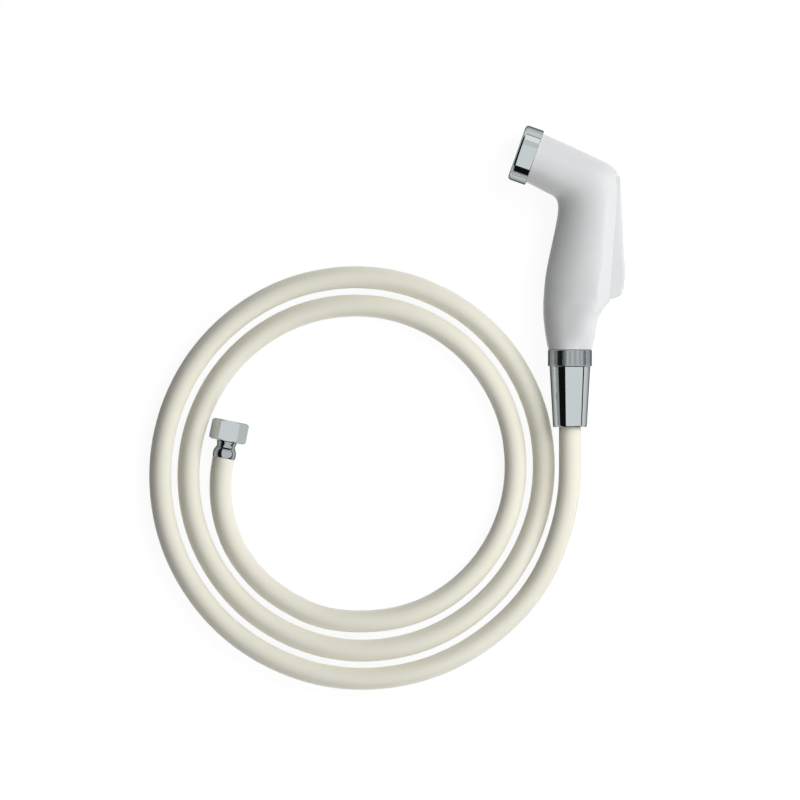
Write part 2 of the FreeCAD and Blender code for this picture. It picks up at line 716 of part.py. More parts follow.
def make_hex_nut():
    """The half-inch hex nut, chamfered at both ends, with an inward lip round the tail."""
    across = NUT_AF / math.cos(math.radians(30))
    corners = []
    for i in range(6):
        turn = math.radians(60 * i)
        corners.append(V(NUT_START, across / 2 * math.cos(turn), across / 2 * math.sin(turn)))
    prism = Part.Face(Part.makePolygon(corners + corners[:1])).extrude(V(NUT_HEIGHT, 0, 0))
    end = NUT_START + NUT_HEIGHT
    blunt = [
        (NUT_START, 0),
        (NUT_START, NUT_FACE_OD / 2),
        (NUT_START + NUT_CHAMFER, across / 2),
        (end - NUT_CHAMFER, across / 2),
        (end, NUT_FACE_OD / 2),
        (end, 0),
    ]
    chamber = NUT_START + NUT_LIP + NUT_CHAMBER
    hollow = [
        (NUT_START - 1, 0),
        (NUT_START - 1, NUT_LIP_BORE / 2),
        (NUT_START + NUT_LIP, NUT_LIP_BORE / 2),
        (NUT_START + NUT_LIP, NUT_CHAMBER_OD / 2),
        (chamber, NUT_CHAMBER_OD / 2),
        (chamber, PIPE_THREAD_ID / 2),
        (end + 1, PIPE_THREAD_ID / 2),
        (end + 1, 0),
    ]
    return prism.common(turned(blunt)).cut(turned(hollow))


def make_nozzle_ring():
    """The chrome ring that clamps the spray face to the head."""
    r = RING_OD / 2
    edge = RING_EDGE
    corner = 1 - math.sin(math.radians(45))
    lip = RING_LENGTH - RING_LIP
    points = [
        (0, NECK_OD / 2 + THREAD_GAP),
        (0, r - RING_BACK_EDGE),
        (RING_BACK_EDGE, r),
        (RING_LENGTH - edge, r),
        (RING_LENGTH - edge * corner, r - edge * corner),
        (RING_LENGTH, r - edge),
        (RING_LENGTH, RING_LIP_BORE / 2 + RING_LIP_EDGE),
        (RING_LENGTH - RING_LIP_EDGE, RING_LIP_BORE / 2),
        (lip, RING_LIP_BORE / 2),
        (lip, NECK_OD / 2 + THREAD_GAP),
    ]
    return turned(points)


def make_spray_face():
    """The stepped disc with rings of jets, held under the nozzle ring's lip."""
    start = NECK_LENGTH + SEAL_THICKNESS
    rim = start + FACE_THICKNESS
    points = [
        (start, 0),
        (start, NECK_OD / 2),
        (rim, NECK_OD / 2),
        (rim, RING_LIP_BORE / 2 - SLIP_GAP),
        (rim + FACE_BOSS, RING_LIP_BORE / 2 - SLIP_GAP - FACE_EDGE),
        (rim + FACE_BOSS, 0),
    ]
    jets = []
    for radius, count in zip(JET_CIRCLES, JET_COUNTS):
        for i in range(count):
            turn = 2 * math.pi * (i + 0.5) / count
            at = V(start - 1, radius * math.cos(turn), radius * math.sin(turn))
            jets.append(Part.makeCylinder(JET_BORE / 2, FACE_THICKNESS + FACE_BOSS + 2, at, X_AXIS))
    return turned(points).cut(jets)


def bent_path(points, radii):
    """Straight runs joined by tangent arcs, one radius for each inner point."""
    edges = []
    start = points[0]
    for before, corner, after, radius in zip(points, points[1:], points[2:], radii):
        back = (before - corner).normalize()
        ahead = (after - corner).normalize()
        turn = math.pi - back.getAngle(ahead)
        reach = radius * math.tan(turn / 2)
        into = corner + back * reach
        out = corner + ahead * reach
        inward = (back + ahead).normalize()
        middle = corner + inward * (radius / math.cos(turn / 2) - radius)
        edges.append(Part.LineSegment(start, into).toShape())
        edges.append(Part.Arc(into, middle, out).toShape())
        start = out
    edges.append(Part.LineSegment(start, points[-1]).toShape())
    return Part.Wire(edges)


def swept_rod(path, start, direction, diameter):
    profile = Part.Circle(start, direction, diameter / 2)
    return path.makePipeShell([Part.Wire(profile.toShape())], True, True)


def hollow_tube(path, start, direction, outer, inner):
    """A tube of two diameters along a path."""
    return swept_rod(path, start, direction, outer).cut(swept_rod(path, start, direction, inner))


def route_radii(points):
    """As large an arc at each point as its two runs allow."""
    radii = []
    for before, corner, after in zip(points, points[1:], points[2:]):
        shorter = min((corner - before).Length, (after - corner).Length)
        turn = math.pi - (before - corner).getAngle(after - corner)
        radii.append(0.45 * shorter / math.tan(turn / 2))
    return radii


def coil_point(turn, height):
    """A point of the flat coil's route: a radius that shrinks by one pitch a turn, a little oval."""
    radius = COIL_RADIUS - COIL_PITCH * turn / (2 * math.pi)
    radius += COIL_OVAL * math.cos(2 * (turn - COIL_OVAL_AT))
    radius /= CURVE_INSIDE
    return COIL_CENTRE + V(radius * math.cos(turn), -radius * math.sin(turn), height)


def hose_route():
    """The hose's route: out of the nut, down to the floor, round the coil and up to the wall end."""
    floor = HOSE_OD / 2 - MIDDLE_Z
    nut = NUT_AF / 2 - MIDDLE_Z
    points = [V(0, CONE_SHOULDER - FERRULE_WEB, 0), V(0, -EXIT_RUN, 0)]
    for i in range(COIL_POINTS):
        points.append(coil_point(COIL_START + i * COIL_STEP, floor))
    last = points[-1]
    ahead = coil_point(COIL_START + COIL_POINTS * COIL_STEP, floor) - last
    heading = math.atan2(ahead.y, ahead.x)
    for (run, turn), rise in zip(END_STRETCH, END_RISE):
        last = last + V(run * math.cos(heading), run * math.sin(heading), 0)
        last.z = floor + (nut - floor) * rise
        points.append(last)
        heading -= math.radians(turn)
    return points


def on_wall_end(shape, route):
    """From the wall end's own axis, +X out of the hose, to the end of the route."""
    ahead = route[-1] - route[-2]
    return placed(shape, route[-1], math.degrees(math.atan2(ahead.y, ahead.x)))


def make_hose(route):
    """The smooth hose, with the squeezed end that the wall ferrule grips."""
    radii = route_radii(route)
    path = bent_path(route, radii)
    tube = hollow_tube(path, route[0], -Y_AXIS, HOSE_OD, HOSE_ID)
    squeezed = on_wall_end(ring(0, WALL_CRIMP, HOSE_CRIMPED_OD, HOSE_ID), route)
    section = math.pi / 4 * (HOSE_OD ** 2 - HOSE_ID ** 2)
    print("hose arc radii", [round(r) for r in radii])
    print("hose length", round(path.Length), "volume ratio", round(tube.Volume / (section * path.Length), 4))
    return tube.fuse(squeezed)


def build():
    route = hose_route()
    washer = PIPE_THREAD_OD - 2 * WASHER_PLAY
    wall_washer = NUT_CHAMBER_OD - 2 * WASHER_PLAY
    wall_seat = NUT_START + NUT_LIP + TAIL_FLANGE
    seal_at = -GLAND_END - VALVE_SEAT
    packing_at = O_RING / 2 - GLAND_PACKING
    groove_at = -GLAND_GROOVE_AT - O_RING / 2
    return {
        "handset_body": make_handset_body(),
        "nozzle_ring": on_head(make_nozzle_ring()),
        "spray_face": on_head(make_spray_face()),
        "nozzle_seal": on_head(ring(NECK_LENGTH, NECK_LENGTH + SEAL_THICKNESS, NECK_OD, MOUTH_BORE)),
        "thumb_lever": on_seat(make_lever()),
        "lever_pin": on_seat(make_lever_pin()),
        "valve_body": make_valve_body(),
        "riser_tube": make_riser_tube(),
        "valve_gland": on_valve(make_valve_gland()),
        "gland_o_ring": on_valve(o_ring(gland_ring_bore(), groove_at)),
        "stem_o_ring": on_valve(o_ring(STEM_OD, packing_at)),
        "valve_seat": on_valve(ring(seal_at, -GLAND_END, GLAND_OD, VALVE_SEAT_BORE)),
        "valve_seal": on_valve(ring(seal_at - POPPET_SEAL, seal_at, POPPET_OD, STEM_OD)),
        "valve_stem": on_valve(make_valve_stem()),
        "valve_spring": on_valve(make_valve_spring()),
        "inlet_spigot": make_inlet_spigot(),
        "inlet_collar": make_inlet_collar(),
        "conical_nut": make_conical_nut(),
        "handset_washer": ring(SPIGOT_END - WASHER, SPIGOT_END, washer, WASHER_ID, Y_AXIS),
        "handset_tail": make_handset_tail(),
        "handset_ferrule": make_handset_ferrule(),
        "hose": make_hose(route),
        "wall_ferrule": on_wall_end(make_wall_ferrule(), route),
        "wall_tail": on_wall_end(make_wall_tail(), route),
        "wall_washer": on_wall_end(ring(wall_seat, wall_seat + WASHER, wall_washer, WASHER_ID), route),
        "hex_nut": on_wall_end(make_hex_nut(), route),
    }


ON_THE_HOSE = ("hose", "wall_ferrule", "wall_tail", "wall_washer", "hex_nut")

nodes = build()
handset = Part.makeCompound([shape for name, shape in nodes.items() if name not in ON_THE_HOSE])
box = handset.optimalBoundingBox(False, False)
seated = V(-(box.XMin + box.XMax) / 2, -(box.YMin + box.YMax) / 2, MIDDLE_Z)
print("moved by", [round(c, 3) for c in seated])
print("handset box", round(box.XLength, 2), round(box.YLength, 2), round(box.ZLength, 2))

os.makedirs("parts", exist_ok=True)
for name, shape in nodes.items():
    shape.translate(seated)
    solids = len(shape.Solids)
    print(name, "solids", solids, "valid", shape.isValid(), "volume", round(shape.Volume))
    solid = shape.Solids[0] if solids == 1 else shape
    solid.exportStep("parts/" + name + ".step")
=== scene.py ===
import json
import math

import bpy
import numpy as np
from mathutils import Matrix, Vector


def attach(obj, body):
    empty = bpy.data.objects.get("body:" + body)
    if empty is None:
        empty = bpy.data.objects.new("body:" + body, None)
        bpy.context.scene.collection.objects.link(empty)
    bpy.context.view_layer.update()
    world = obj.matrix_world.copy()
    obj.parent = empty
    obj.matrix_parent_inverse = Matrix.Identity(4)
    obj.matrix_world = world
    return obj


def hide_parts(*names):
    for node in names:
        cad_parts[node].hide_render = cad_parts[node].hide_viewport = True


# Handheld bidet shower, lying on its side on a pale floor, seen from straight above.
# Sizes are in millimetres until a piece is put in its place, and metres from there on.

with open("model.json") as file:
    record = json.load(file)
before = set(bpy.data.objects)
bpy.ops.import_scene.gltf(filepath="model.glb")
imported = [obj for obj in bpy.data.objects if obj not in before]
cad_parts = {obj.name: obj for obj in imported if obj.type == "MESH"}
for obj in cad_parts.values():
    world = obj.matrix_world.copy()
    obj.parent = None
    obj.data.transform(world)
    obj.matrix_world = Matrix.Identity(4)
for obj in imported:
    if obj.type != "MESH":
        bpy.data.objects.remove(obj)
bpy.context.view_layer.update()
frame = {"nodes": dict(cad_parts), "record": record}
nodes = frame["nodes"]
MM = 0.001

# Where the pieces sit: an origin, and the turn of its own X axis about Z in degrees
MIDDLE_Z = 19.5
GRIP_AXIS = (2.175, -102.443, MIDDLE_Z, 90.0)
FOOT = (2.175, -49.743, MIDDLE_Z, 0.0)
HEAD = (-21.825, 80.457, MIDDLE_Z, 160.5)
LEVER_SEAT = (29.175, -15.743, MIDDLE_Z, -4.0)
WALL_END = (-233.342, -123.594, 11.0, 78.556)


def in_place(points, place):
    """Points turned about Z, moved to their place and changed to metres."""
    x, y, z, degrees = place
    cosine, sine = math.cos(math.radians(degrees)), math.sin(math.radians(degrees))
    spin = np.array([[cosine, sine, 0], [-sine, cosine, 0], [0, 0, 1]])
    return (points @ spin + np.array([x, y, z])) * MM


def grid_faces(rows, columns, closed_rows, closed_columns):
    """Four-sided faces between neighbouring grid points, wrapped where the surface meets itself."""
    r, c = np.meshgrid(
        np.arange(rows if closed_rows else rows - 1),
        np.arange(columns if closed_columns else columns - 1),
        indexing="ij",
    )
    next_r, next_c = (r + 1) % rows, (c + 1) % columns
    corners = [r * columns + c, r * columns + next_c, next_r * columns + next_c, next_r * columns + c]
    return np.stack(corners, axis=-1).reshape(-1, 4)


def enclosed(points, faces):
    """The signed volume under a closed mesh, from the tetrahedra that its faces make with the origin."""
    total = 0.0
    for face in faces:
        block = points[face]
        for i in range(1, face.shape[1] - 1):
            total += np.einsum("ij,ij->", block[:, 0], np.cross(block[:, i], block[:, i + 1])) / 6
    return total


def placed(name, data):
    """A new object with this data, linked into the scene."""
    piece = bpy.data.objects.new(name, data)
    bpy.context.scene.collection.objects.link(piece)
    return piece


def made(name, points, faces, crease=35.0):
    """A mesh object from points and face arrays, turned outwards, smooth up to the crease angle."""
    if enclosed(points, faces) < 0:
        faces = [face[:, ::-1] for face in faces]
    mesh = bpy.data.meshes.new(name)
    mesh.from_pydata(points.tolist(), [], [corner for face in faces for corner in face.tolist()])
    mesh.validate()
    mesh.shade_smooth()
    mesh.set_sharp_from_angle(angle=math.radians(crease))
    return placed(name, mesh)


def capped(grid):
    """Points and faces of a tube of rings, closed at each end by a fan round the ring's middle."""
    rows, columns = grid.shape[:2]
    points = np.vstack([grid.reshape(-1, 3), grid[0].mean(axis=0), grid[-1].mean(axis=0)])
    here = np.arange(columns)
    after = (here + 1) % columns
    first, last = rows * columns, rows * columns + 1
    low = np.stack([np.full(columns, first), after, here], axis=-1)
    top = (rows - 1) * columns
    high = np.stack([np.full(columns, last), top + here, top + after], axis=-1)
    return points, [grid_faces(rows, columns, False, True), np.vstack([low, high])]


# Outlines: the usual radius of their corners, the most of a side that one corner takes up, and how far
# from its ends a side longer than the last of these is held straight
EDGE_RADIUS = 0.25
SIDE_SHARE = 0.45
HOLD = 0.2
LONG_SIDE = 1.0


def softened(profile, radius=EDGE_RADIUS, steps=7):
    """A closed outline whose corners are rounded with parabolas, by one radius or each by its own.

    A long straight run gets a point close to each of its ends, which keeps its shading flat.
    """
    profile = np.asarray(profile, float)
    into = np.roll(profile, 1, axis=0) - profile
    out = np.roll(profile, -1, axis=0) - profile
    into_length = np.linalg.norm(into, axis=1)
    out_length = np.linalg.norm(out, axis=1)
    reach = np.minimum(radius, SIDE_SHARE * np.minimum(into_length, out_length))
    start = profile + into * (reach / into_length)[:, None]
    end = profile + out * (reach / out_length)[:, None]
    following = np.roll(start, -1, axis=0)
    t = np.linspace(0, 1, steps)[:, None]
    result = []
    for first, corner, last, after in zip(start, profile, end, following):
        result.append((1 - t) ** 2 * first + 2 * t * (1 - t) * corner + t ** 2 * last)
        run = np.linalg.norm(after - last)
        if run > LONG_SIDE:
            step = (after - last) * HOLD / run
            result.append(np.array([last + step, after - step]))
    return np.vstack(result)


def full_turn(steps):
    """Evenly spaced angles once round."""
    return np.linspace(0, 2 * math.pi, steps, endpoint=False)


def round_grid(along, reach, angle):
    """Points at each place along the local X axis, as far out as reach says, at each angle round it."""
    along, reach, angle = np.broadcast_arrays(along[:, None], reach, angle)
    return np.stack([along, reach * np.cos(angle), reach * np.sin(angle)], axis=-1)


def turned(name, profile, place, radius=EDGE_RADIUS, around=144, crease=50.0):
    """A turned ring: each (along, radius) point of its closed outline goes once round the X axis."""
    along, reach = softened(profile, radius).T
    grid = round_grid(along, reach[:, None], full_turn(around))
    faces = [grid_faces(len(along), around, True, True)]
    return made(name, in_place(grid.reshape(-1, 3), place), faces, crease)


def cut(piece, tool):
    """The piece with the tool's shape taken out of it. The tool is used up."""
    change = piece.modifiers.new("cut", "BOOLEAN")
    change.operation = "DIFFERENCE"
    change.object = tool
    change.solver = "EXACT"
    bpy.context.view_layer.update()
    seen = piece.evaluated_get(bpy.context.evaluated_depsgraph_get())
    mesh = bpy.data.meshes.new_from_object(seen)
    piece.modifiers.clear()
    piece.data = mesh
    bpy.data.objects.remove(tool)
    return piece


# Handset shell
FOOT_RADIUS = 14.8
HEAD_RADIUS = 17.5
HEAD_FROM_FOOT = (-24.0, 130.2)
HEAD_LEAN = math.radians(19.5)
# Ovals across the grip from its foot up: front x, front y, back x, back y, half thickness, shoulder,
# and how much thicker each is towards the back
OVALS = (
    (-16.2, 6.8, 16.2, 6.8, 15.4, 0.20, 0.16),
    (-17.3, 15.0, 16.9, 15.0, 15.9, 0.30, 0.22),
    (-18.0, 21.8, 18.2, 21.8, 16.1, 0.33, 0.23),
    (-18.1, 27.6, 21.4, 27.6, 16.2, 0.35, 0.23),
    (-18.1, 32.4, 26.0, 32.4, 16.3, 0.15, 0.23),
    (-17.7, 37.4, 29.0, 37.4, 16.4, 0.15, 0.23),
    (-17.3, 44.0, 29.9, 44.0, 16.4, 0.15, 0.23),
    (-15.8, 55.0, 30.6, 55.0, 16.4, 0.07, 0.23),
    (-13.1, 68.0, 31.5, 68.0, 16.5, 0.07, 0.23),
    (-10.2, 81.6, 32.5, 81.6, 16.6, 0.07, 0.23),
    (-8.2, 93.0, 33.4, 95.5, 16.9, 0.07, 0.21),
    (-8.3, 99.4, 33.9, 107.6, 17.2, 0.06, 0.17),
    (-10.2, 103.3, 33.6, 117.0, 17.4, 0.04, 0.11),
    (-13.2, 105.3, 29.0, 124.3, 17.5, 0.05, 0.06),
    (-17.0, 107.2, 17.0, 130.6, 17.5, 0.03, 0.03),
    (-21.0, 109.3, 1.5, 137.8, 17.5, 0.02, 0.0),
    (-25.0, 111.4, -9.5, 142.9, 17.5, 0.01, 0.0),
)
# Poles round each oval, and how far short of the last span's end the spline is read
POLES = 16
JUST_SHORT = 1e-9


def held_weights(count, samples):
    """Cubic spline weights along a row of poles with its ends held, by the Cox and de Boor rule."""
    knots = np.concatenate([[0] * 3, np.arange(count - 2), [count - 3] * 3]).astype(float)
    t = np.clip(samples, 0, count - 3 - JUST_SHORT)[:, None]
    weights = ((knots[:-1] <= t) & (t < knots[1:])).astype(float)
    for degree in (1, 2, 3):
        size = weights.shape[1] - 1
        rise = knots[degree : degree + size] - knots[:size]
        fall = knots[degree + 1 : degree + 1 + size] - knots[1 : 1 + size]
        up = np.divide(t - knots[:size], rise, out=np.zeros((len(t), size)), where=rise > 0)
        down = knots[degree + 1 : degree + 1 + size] - t
        down = np.divide(down, fall, out=np.zeros((len(t), size)), where=fall > 0)
        weights = up * weights[:, :size] + down * weights[:, 1:]
    return weights


def ring_weights(count, samples):
    """Cubic spline weights round a closed ring of poles: a bump of four spans about each pole."""
    away = np.abs((samples[:, None] - np.arange(count) + count / 2) % count - count / 2)
    near = (4 - 6 * away ** 2 + 3 * away ** 3) / 6
    far = np.clip(2 - away, 0, None) ** 3 / 6
    return np.where(away < 1, near, far)


def grip_grid(rows, columns):
    """The grip's skin: ovals with rounded shoulders as poles of one cubic spline surface.

    A spline passes inside the bends of its poles, so the poles stand out by as much as it falls short.
    """
    lean = np.array([math.sin(HEAD_LEAN), math.cos(HEAD_LEAN)]) * HEAD_RADIUS
    head = np.array(HEAD_FROM_FOOT)
    first = (-FOOT_RADIUS, 0, FOOT_RADIUS, 0, FOOT_RADIUS, 0, 0)
    last = (*(head - lean), *(head + lean), HEAD_RADIUS, 0, 0)
    ovals = np.array((first,) + OVALS + (last,))
    bend = (ovals[:-2] - 2 * ovals[1:-1] + ovals[2:]) / 6
    ovals[1:-1] -= bend
    front = np.column_stack([ovals[:, 0:2], np.zeros(len(ovals))])[:, None]
    back = np.column_stack([ovals[:, 2:4], np.zeros(len(ovals))])[:, None]
    turn = 2 * math.pi * np.arange(POLES) / POLES
    shoulder = np.sin(2 * turn) ** 2 * (1 + np.cos(turn)) / 2
    swell = (1 + ovals[:, 5:6] * shoulder) * 3 / (2 + math.cos(2 * math.pi / POLES))
    poles = (front + back) / 2 + (back - front) / 2 * (np.cos(turn) * swell)[..., None]
    poles[..., 2] += ovals[:, 4:5] * np.sin(turn) * swell * (1 + ovals[:, 6:7] * np.cos(turn))
    along = held_weights(len(ovals), np.linspace(0, len(ovals) - 3, rows))
    across = ring_weights(POLES, np.linspace(0, POLES, columns, endpoint=False))
    return bevelled(np.einsum("ri,ijk,cj->rck", along, poles, across))


# The bevel along each side of the back: its front edge in the side view, and its fall behind that edge
BEVEL_EDGE = (17.3, 0.079)
BEVEL_HEIGHT = (15.4, 0.005)
BEVEL_FALL = 0.82
BEVEL_SOFTNESS = 0.12
# How many softnesses above or below the plane the soft minimum is worked out
SOFT_REACH = 30


def bevelled(grid):
    """Heights held under a slanting plane on each side, where the two meet in a soft minimum."""
    x, y, z = np.moveaxis(grid, -1, 0)
    edge = BEVEL_EDGE[0] + BEVEL_EDGE[1] * y
    plane = BEVEL_HEIGHT[0] + BEVEL_HEIGHT[1] * y - BEVEL_FALL * (x - edge)
    above = np.clip((np.abs(z) - plane) / BEVEL_SOFTNESS, -SOFT_REACH, SOFT_REACH)
    height = np.abs(z) - BEVEL_SOFTNESS * np.log1p(np.exp(above))
    return np.stack([x, y, np.sign(z) * np.maximum(height, 0)], axis=-1)


# The lever's slot and its pin's hole, which opens below, both from the lever's seat
SLOT_DEPTH = 9.0
SLOT_HALF = 10.1
SLOT_ENDS = (-0.2, 84.35)
SLOT_TOP = 20.0
PIN_AT = (-4.8, 76.0)
PIN_RADIUS = 1.25
PIN_HOLE_ENDS = (-30.0, 0.0)
SHELL_GRID = (240, 288)
SHELL_CREASE = 50.0


def block(name, low, high, place):
    """A plain cutting block between two corners, in a place of its own."""
    x, y, z = np.meshgrid(*zip(low, high), indexing="ij")
    corners = np.stack([x, y, z], axis=-1).reshape(-1, 3)
    sides = np.array([[0, 1, 3, 2], [4, 6, 7, 5], [0, 4, 5, 1], [2, 3, 7, 6], [0, 2, 6, 4], [1, 5, 7, 3]])
    return made(name, in_place(corners, place), [sides])


def upright_rod(name, centre, low, high, radius, place, around=32):
    """A round bar square to the floor: circles at two heights, closed by fans."""
    angle = full_turn(around)
    circle = np.stack([centre[0] + radius * np.cos(angle), centre[1] + radius * np.sin(angle)], axis=-1)
    rings = [np.column_stack([circle, np.full(around, z)]) for z in (low, high)]
    points, faces = capped(np.array(rings))
    return made(name, in_place(points, place), faces)


def make_shell():
    """The grip's skin, closed at both ends, with the lever's slot and the pin's hole cut into it."""
    points, faces = capped(grip_grid(*SHELL_GRID))
    shell = made("handset_shell", in_place(points, FOOT), faces, SHELL_CREASE)
    low = (-SLOT_DEPTH, SLOT_ENDS[0], -SLOT_HALF)
    high = (SLOT_TOP, SLOT_ENDS[1], SLOT_HALF)
    shell = cut(shell, block("slot", low, high, LEVER_SEAT))
    shell = cut(shell, upright_rod("pin_hole", PIN_AT, *PIN_HOLE_ENDS, PIN_RADIUS, LEVER_SEAT))
    shell.data.set_sharp_from_angle(angle=math.radians(SHELL_CREASE))
    return shell


# Thumb lever: corners of its side outline, (out, along), and the rounding of each
LEVER_HALF = 10.0
LEVER_EDGE = 1.8
LEVER_SIDE = ((1.3, 84.0), (9.4, 17.0), (9.2, 8.0), (7.9, 3.6), (1.1, 0.2), (-2.0, 0.2), (-2.0, 84.0))
LEVER_CORNERS = (0.3, 4.0, 3.0, 1.6, 0.3, 0.3, 0.3)
LEVER_STEPS = 9
LEVER_CREASE = 40.0
# The edges are drawn in from this far out, in full after a band of this width
CROWN_FROM = 1.0
CROWN_BAND = 2.0
# The share of its width that the lever loses for each millimetre outwards
LEVER_TAPER = 0.014


def shrunk(outline, by):
    """A convex outline moved inwards by a distance: each side along its normal, each corner between."""
    ahead = np.roll(outline, -1, axis=0) - outline
    ahead /= np.linalg.norm(ahead, axis=1)[:, None]
    inward = np.stack([ahead[:, 1], -ahead[:, 0]], axis=-1)
    middle = outline.mean(axis=0)
    inward *= np.sign(((middle - outline) * inward).sum(axis=1))[:, None]
    corner = inward + np.roll(inward, 1, axis=0)
    corner /= np.linalg.norm(corner, axis=1)[:, None]
    return outline + corner * by


def make_lever():
    """The lever's cap: its side outline, the crown drawn in towards both side faces by a quarter circle.

    The side faces close in on each other steadily towards the crown.
    """
    outline = softened(LEVER_SIDE, LEVER_CORNERS, LEVER_STEPS)
    crown = np.clip((outline[:, :1] - CROWN_FROM) / CROWN_BAND, 0, 1)
    phi = np.linspace(0, math.pi / 2, LEVER_STEPS)
    drawn_in = LEVER_EDGE * (1 - np.sin(phi))
    side = LEVER_HALF - LEVER_EDGE * (1 - np.cos(phi))
    rings = []
    for by, z in zip(drawn_in, side):
        ring = outline + (shrunk(outline, by) - outline) * crown
        taper = 1 - LEVER_TAPER * (ring[:, 0] - ring[:, 0].min())
        rings.append(np.column_stack([ring, z * taper]))
    rings += [ring * (1, 1, -1) for ring in rings[::-1]]
    points, faces = capped(np.array(rings))
    return made("thumb_lever_cap", in_place(points, LEVER_SEAT), faces, LEVER_CREASE)


# Chrome pieces: closed outlines of (along, radius) points
RING_PROFILE = (
    (0.0, 15.5), (0.0, 19.1), (0.4, 19.5), (10.8, 19.5), (12.2, 18.9), (12.8, 17.5),
    (12.8, 12.6), (12.2, 12.0), (11.3, 12.0), (11.3, 15.5),
)
COLLAR_PROFILE = (
    (41.3, 12.5), (41.3, 14.65), (41.6, 14.95), (42.5, 14.95), (51.5, 14.95), (52.0, 14.95),
    (52.7, 14.25), (52.7, 9.55), (50.7, 9.55), (50.7, 12.5),
)
CONE_PROFILE = (
    (0.0, 9.4), (0.4, 9.0), (24.0, 9.0), (24.0, 10.4), (41.2, 10.4), (41.2, 13.6),
    (40.9, 13.83), (0.8, 11.55), (0.0, 11.15),
)
FERRULE_PROFILE = (
    (0.0, 6.95), (0.0, 7.45), (1.2, 7.85), (3.0, 7.95), (5.0, 7.65), (6.4, 6.95), (7.4, 6.3), (9.0, 6.3),
    (10.2, 6.7), (11.55, 6.9), (11.55, 4.7), (8.4, 4.7), (8.4, 5.4), (6.6, 5.4), (5.2, 6.95),
)

# The collar's flutes: their number and depth, where they start and end, and how they fade there
COLLAR_FLUTES = 26
FLUTE_DEPTH = 0.065
FLUTE_ENDS = (42.1, 51.9)
FLUTE_FADE = 0.3
FLUTE_OUTSIDE = 14.5


def make_collar(around=432):
    """The collar: a turned cup whose outer wall dips by a shallow scallop between evenly spaced ridges.

    The dip, from 0 on a ridge to 1 in a groove, is kept as an attribute, which the fluted chrome reads to
    paint shade into the grooves.
    """
    along, reach = softened(COLLAR_PROFILE).T
    low, high = FLUTE_ENDS
    band = np.clip(np.minimum(along - low, high - along) / FLUTE_FADE, 0, 1) * (reach > FLUTE_OUTSIDE)
    dip = band[:, None] * np.abs(np.sin(COLLAR_FLUTES / 2 * full_turn(around)))
    grid = round_grid(along, reach[:, None] - FLUTE_DEPTH * dip, full_turn(around))
    faces = [grid_faces(len(along), around, True, True)]
    collar = made("collar_plated", in_place(grid.reshape(-1, 3), GRIP_AXIS), faces)
    collar.data.attributes.new("dip", "FLOAT", "POINT").data.foreach_set("value", dip.ravel())
    return collar


# Hex nut, from its face by the hose to its mouth
NUT_ENDS = (11.6, 25.8)
NUT_HALF_FLATS = 11.0
NUT_FACE_RADIUS = 10.8
NUT_CHAMFER_RISE = np.array([0.0, 0.15, 0.35, 0.6, 0.9, 1.25, 1.7, 2.2])
NUT_CHAMFER_TURN = math.radians(30)
NUT_BORE = 9.3
NUT_CHAMBER = (14.1, 18.1, 9.6)
NUT_LIP_BORE = 7.1
NUT_MOUTH_RADIUS = 9.9
NUT_CREASE = 25.0
THREAD_PITCH = 1.814
THREAD_DEPTH = 0.9
THREAD_STEP = THREAD_PITCH / 10
THREAD_FADE = 0.8
# The groove's section along the bore: a wave about this middle, cut off at 0 and 1
THREAD_MIDDLE = 0.5
THREAD_SWING = 0.75


def hexagon_reach(angle):
    """How far out a hexagon's side is at each angle, with a flat at angle zero."""
    from_flat = (angle + math.pi / 6) % (math.pi / 3) - math.pi / 6
    return NUT_HALF_FLATS / np.cos(from_flat)


def thread_reach(along, angle, start, end):
    """The threaded bore: a rounded groove that moves on by one pitch a turn and fades at both ends."""
    phase = along[:, None] / THREAD_PITCH - angle / (2 * math.pi)
    groove = np.clip(THREAD_MIDDLE + THREAD_SWING * np.cos(2 * math.pi * phase), 0, 1)
    fade = np.clip(np.minimum(along - start, end - along) / THREAD_FADE, 0, 1)
    return NUT_BORE + THREAD_DEPTH * groove * fade[:, None]


def make_hex_nut(around=240):
    """The hex nut: outside, at each turn, the lesser reach of the hexagon and of a chamfer cone."""
    low, high = NUT_ENDS
    chamber_start, chamber_end, chamber = NUT_CHAMBER
    angle = full_turn(around)
    cone = NUT_FACE_RADIUS + NUT_CHAMFER_RISE / math.tan(NUT_CHAMFER_TURN)
    outside_along = np.concatenate([low + NUT_CHAMFER_RISE, high - NUT_CHAMFER_RISE[::-1]])
    outside = np.minimum(np.concatenate([cone, cone[::-1]])[:, None], hexagon_reach(angle))
    mouth_along = np.array([high])
    mouth = np.full((1, around), NUT_MOUTH_RADIUS)
    thread_along = np.arange(high - (NUT_MOUTH_RADIUS - NUT_BORE), chamber_end, -THREAD_STEP)
    thread = thread_reach(thread_along, angle, chamber_end, thread_along[0])
    back_along = np.array([chamber_end, chamber_start, chamber_start, low])
    back = np.repeat([[chamber], [chamber], [NUT_LIP_BORE], [NUT_LIP_BORE]], around, axis=1)
    along = np.concatenate([outside_along, mouth_along, thread_along, back_along])
    grid = round_grid(along, np.vstack([outside, mouth, thread, back]), angle + math.pi / 2)
    faces = [grid_faces(len(along), around, True, True)]
    return made("wall_nut", in_place(grid.reshape(-1, 3), WALL_END), faces, NUT_CREASE)


# Soft nozzles that stand round the jets of the spray face
JET_CIRCLES = (0.0, 3.6, 7.0, 10.3)
JET_COUNTS = (1, 6, 12, 18)
NOZZLE_PROFILE = ((12.25, 0.55), (12.25, 1.05), (12.7, 0.85), (12.7, 0.55))


